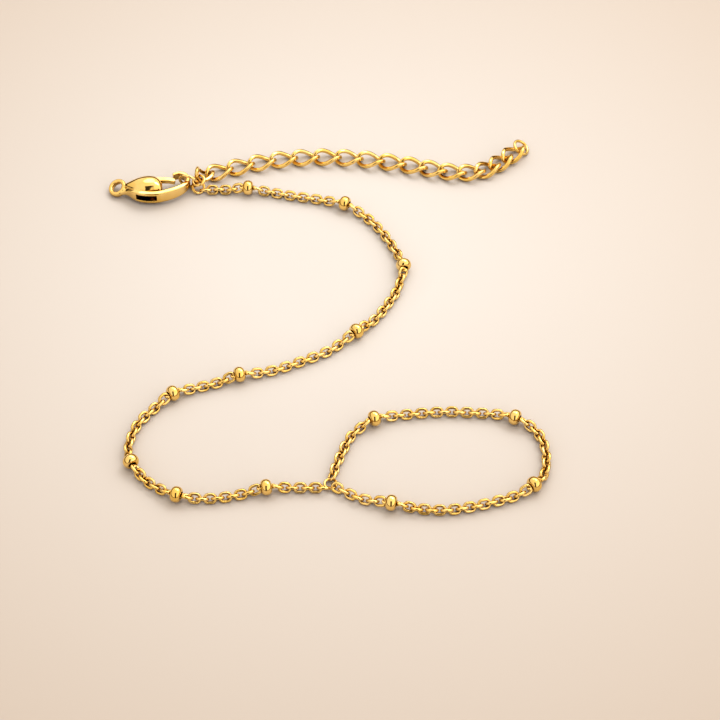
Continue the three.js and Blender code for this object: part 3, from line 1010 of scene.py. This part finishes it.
# Point that the camera looks at and the wide soft lights: place, size and how warm they are
LOOK_AT = (5.9, -7.8, 0.0)
FLOOR_SIZE = 1600.0
# Middle of the pool of light painted on the surface, and the darker, warmer colour that the painted falloff
# reaches at its edge
PAINTED_POOL_MIDDLE = (3.0, 12.0, 0.0)
PAINTED_FALLOFF_EDGE = (0.50, 0.43, 0.375)
KEY_LIGHT = {"place": (175.0, 190.0, 350.0), "size": 210.0, "colour": (1.0, 0.97, 0.93)}
BACK_LIGHT = {"place": (-20.0, 285.0, 340.0), "size": 220.0, "colour": (1.0, 0.98, 0.95)}

# Soft light of the room: bright overhead, dark down by the horizon, most of all at the back
CEILING_COLOUR = (0.92, 0.85, 0.76)
HORIZON_COLOUR = (0.05, 0.035, 0.025)
HORIZON_TOP = 0.13
CEILING_START = 0.3
BACK_SHADE = 0.12
LEFT_SHADE = 0.62
RIGHT_LIFT = 1.1

# Narrow upright dark gap in the room's light, in front, where whoever looks at it stands
GAP_HALF_WIDTH = 0.18
GAP_SOFTNESS = 0.08
GAP_TOP = -0.25
GAP_LIGHT = 0.05


def surface_material(colour):
    """Smooth pale board with a very faint drift of tone, and a painted falloff of light that makes it darker
    and warmer away from its middle.
    """
    material = bpy.data.materials.new("pale_surface")
    material.use_nodes = True
    tree = material.node_tree
    tree.nodes.clear()
    place = add_node(tree, "ShaderNodeTexCoord").outputs["Object"]
    drift = add_node(tree, "ShaderNodeTexNoise", {"Vector": place, "Scale": 14.0, "Detail": 2.0})
    tone = add_node(tree, "ShaderNodeMix", {
        0: drift.outputs[0], 6: (*colour, 1.0), 7: (*[0.97 * part for part in colour], 1.0),
    }, data_type="RGBA")
    # Painted falloff of light: the board turns darker and warmer from 15 mm to 100 mm away from the painted
    # pool's middle
    away = add_node(
        tree, "ShaderNodeVectorMath", {0: place, 1: Vector(PAINTED_POOL_MIDDLE) * MM}, operation="DISTANCE")
    painted_falloff = add_node(tree, "ShaderNodeMapRange", {
        "Value": away.outputs["Value"], "From Min": 15 * MM, "From Max": 100 * MM})
    paint = add_node(tree, "ShaderNodeMix", {
        0: painted_falloff.outputs[0], 6: tone.outputs[2], 7: (*PAINTED_FALLOFF_EDGE, 1.0)}, data_type="RGBA")
    board = add_node(tree, "ShaderNodeBsdfPrincipled", {"Base Color": paint.outputs[2], "Roughness": 0.65})
    add_node(tree, "ShaderNodeOutputMaterial", {"Surface": board.outputs[0]})
    return material


def soft_room(strength):
    """Room with a broad soft ceiling of light over a dark horizon."""
    world = bpy.data.worlds.new("room")
    world.use_nodes = True
    tree = world.node_tree
    tree.nodes.clear()
    direction = add_node(tree, "ShaderNodeTexCoord").outputs["Generated"]
    toward = add_node(tree, "ShaderNodeSeparateXYZ", {0: direction}).outputs
    shade = add_node(tree, "ShaderNodeMath", {
        0: toward["Y"], 1: -BACK_SHADE, 2: toward["Z"]}, operation="MULTIPLY_ADD")
    height = add_node(tree, "ShaderNodeMapRange", {
        "Value": shade.outputs[0], "From Min": HORIZON_TOP, "From Max": CEILING_START,
    }, interpolation_type="SMOOTHSTEP")
    light = add_node(tree, "ShaderNodeMix", {
        0: height.outputs[0], 6: (*HORIZON_COLOUR, 1.0), 7: (*CEILING_COLOUR, 1.0)}, data_type="RGBA")
    aside = add_node(tree, "ShaderNodeMath", {0: toward["X"]}, operation="ABSOLUTE")
    aside = add_node(tree, "ShaderNodeMapRange", {
        "Value": aside.outputs[0], "From Min": GAP_HALF_WIDTH, "From Max": GAP_HALF_WIDTH + GAP_SOFTNESS,
    }, interpolation_type="SMOOTHSTEP")
    above = add_node(tree, "ShaderNodeMapRange", {
        "Value": toward["Y"], "From Min": GAP_TOP - GAP_SOFTNESS, "From Max": GAP_TOP,
    }, interpolation_type="SMOOTHSTEP")
    gap = add_node(tree, "ShaderNodeMath", {
        0: aside.outputs[0], 1: above.outputs[0]}, operation="MAXIMUM")
    gap = add_node(tree, "ShaderNodeMath", {
        0: gap.outputs[0], 1: GAP_LIGHT}, operation="MAXIMUM")
    side = add_node(tree, "ShaderNodeMapRange", {
        "Value": toward["X"], "From Min": -1.0, "From Max": 1.0,
        "To Min": LEFT_SHADE * strength, "To Max": RIGHT_LIFT * strength})
    power = add_node(tree, "ShaderNodeMath", {0: side.outputs[0], 1: gap.outputs[0]}, operation="MULTIPLY")
    room = add_node(tree, "ShaderNodeBackground", {"Color": light.outputs[2], "Strength": power.outputs[0]})
    add_node(tree, "ShaderNodeOutputWorld", {"Surface": room.outputs[0]})
    return world


def add_light(name, light, power):
    lamp = bpy.data.lights.new(name, "AREA")
    lamp.shape = "DISK"
    lamp.size = light["size"] * MM
    lamp.energy = power
    lamp.color = light["colour"]
    holder = bpy.data.objects.new(name, lamp)
    holder.location = Vector(light["place"]) * MM
    aim = Vector(LOOK_AT) * MM - holder.location
    holder.rotation_euler = aim.to_track_quat("-Z", "Y").to_euler()
    bpy.context.scene.collection.objects.link(holder)


class BRACELET_OT_stage(bpy.types.Operator):
    """Set up the surface, the soft lights and the camera"""

    bl_idname = "bracelet.stage"
    bl_label = "Stage"

    def execute(self, context):
        stage = context.scene.bracelet_stage
        half = FLOOR_SIZE / 2 * MM
        corners = [(-half, -half, 0), (half, -half, 0), (half, half, 0), (-half, half, 0)]
        floor = new_piece("surface", corners, [(0, 1, 2, 3)])
        floor.data.materials.append(surface_material(stage.surface))
        add_light("key_light", KEY_LIGHT, stage.key_power)
        add_light("back_light", BACK_LIGHT, stage.back_power)
        context.scene.world = soft_room(stage.room_strength)
        context.scene.view_settings.view_transform = "Standard"
        context.scene.view_settings.look = "Medium High Contrast"

        camera = bpy.data.cameras.new("camera")
        camera.sensor_width = 36
        camera.lens = stage.lens
        camera.clip_start = 0.01
        holder = bpy.data.objects.new("camera", camera)
        target = Vector(LOOK_AT) * MM
        back = Vector((0, -math.cos(stage.elevation), math.sin(stage.elevation)))
        holder.location = target + back * stage.distance
        holder.rotation_euler = (-back).to_track_quat("-Z", "Y").to_euler()
        context.scene.collection.objects.link(holder)
        context.scene.camera = holder
        return {"FINISHED"}


# ------------------------------------------------------------------ panel and registration

OPERATORS = (
    BRACELET_OT_cable_chain,
    BRACELET_OT_beads,
    BRACELET_OT_rings,
    BRACELET_OT_extender,
    BRACELET_OT_clasp_body,
    BRACELET_OT_clasp_lever,
    BRACELET_OT_stage,
)

SETTINGS = {
    "bracelet_chain": BraceletChainSettings,
    "bracelet_beads": BraceletBeadSettings,
    "bracelet_extender": BraceletExtenderSettings,
    "bracelet_clasp": BraceletClaspSettings,
    "bracelet_gold": BraceletGoldSettings,
    "bracelet_stage": BraceletStageSettings,
}


class BRACELET_PT_main(bpy.types.Panel):
    """Sizes, colours and build steps of the bracelet"""

    bl_idname = "BRACELET_PT_main"
    bl_label = "Finger Loop Bracelet"
    bl_space_type = "VIEW_3D"
    bl_region_type = "UI"
    bl_category = "Bracelet"

    def draw(self, context):
        layout = self.layout
        for name, group in SETTINGS.items():
            box = layout.box()
            box.label(text=name.replace("_", " ").capitalize())
            for prop in group.__annotations__:
                box.prop(getattr(context.scene, name), prop)
        for operator in OPERATORS:
            layout.operator(operator.bl_idname)


def register():
    for cls in (*SETTINGS.values(), *OPERATORS, BRACELET_PT_main):
        bpy.utils.register_class(cls)
    for name, group in SETTINGS.items():
        setattr(bpy.types.Scene, name, PointerProperty(type=group))


def unregister():
    for name in SETTINGS:
        delattr(bpy.types.Scene, name)
    for cls in reversed((*SETTINGS.values(), *OPERATORS, BRACELET_PT_main)):
        bpy.utils.unregister_class(cls)


def build_bracelet():
    """Registers the add-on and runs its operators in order."""
    register()
    for operator in OPERATORS:
        group, name = operator.bl_idname.split(".")
        getattr(getattr(bpy.ops, group), name)()


if __name__ == "__main__":
    build_bracelet()
